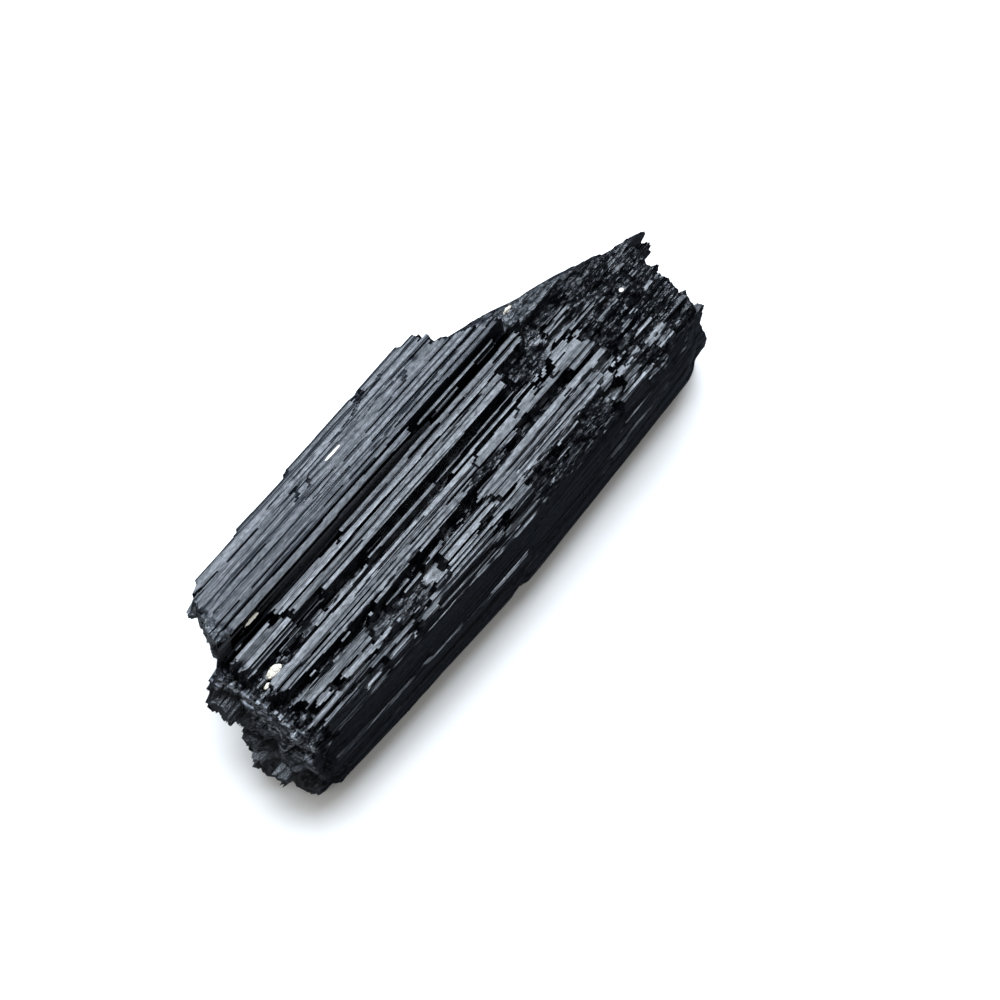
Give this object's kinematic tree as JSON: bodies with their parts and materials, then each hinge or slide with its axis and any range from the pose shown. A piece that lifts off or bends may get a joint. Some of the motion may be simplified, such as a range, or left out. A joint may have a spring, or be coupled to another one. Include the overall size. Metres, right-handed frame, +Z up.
{
  "type": "tourmaline crystal",
  "caption": "Black striated tourmaline prism, broken at both ends, with grooves and ledges along it and two feldspar grains, lying on a prism face.",
  "frame": {"origin": "middle of the crystal's bounding box in X and Y, at the flat prism face that it rests on", "axes": "+X along the crystal to its far broken end, +Y towards the slab along its left side, +Z up"},
  "size_m": [0.0816, 0.0286, 0.0183],
  "materials": {
    "tourmaline": "black, glassy along the striations, with rough broken ends and grooves",
    "feldspar": "cream, dull, slightly grainy"
  },
  "bodies": {
    "root": {"crystal": "tourmaline", "feldspar_grain": "feldspar", "feldspar_chip": "feldspar"}
  },
  "joints": []
}
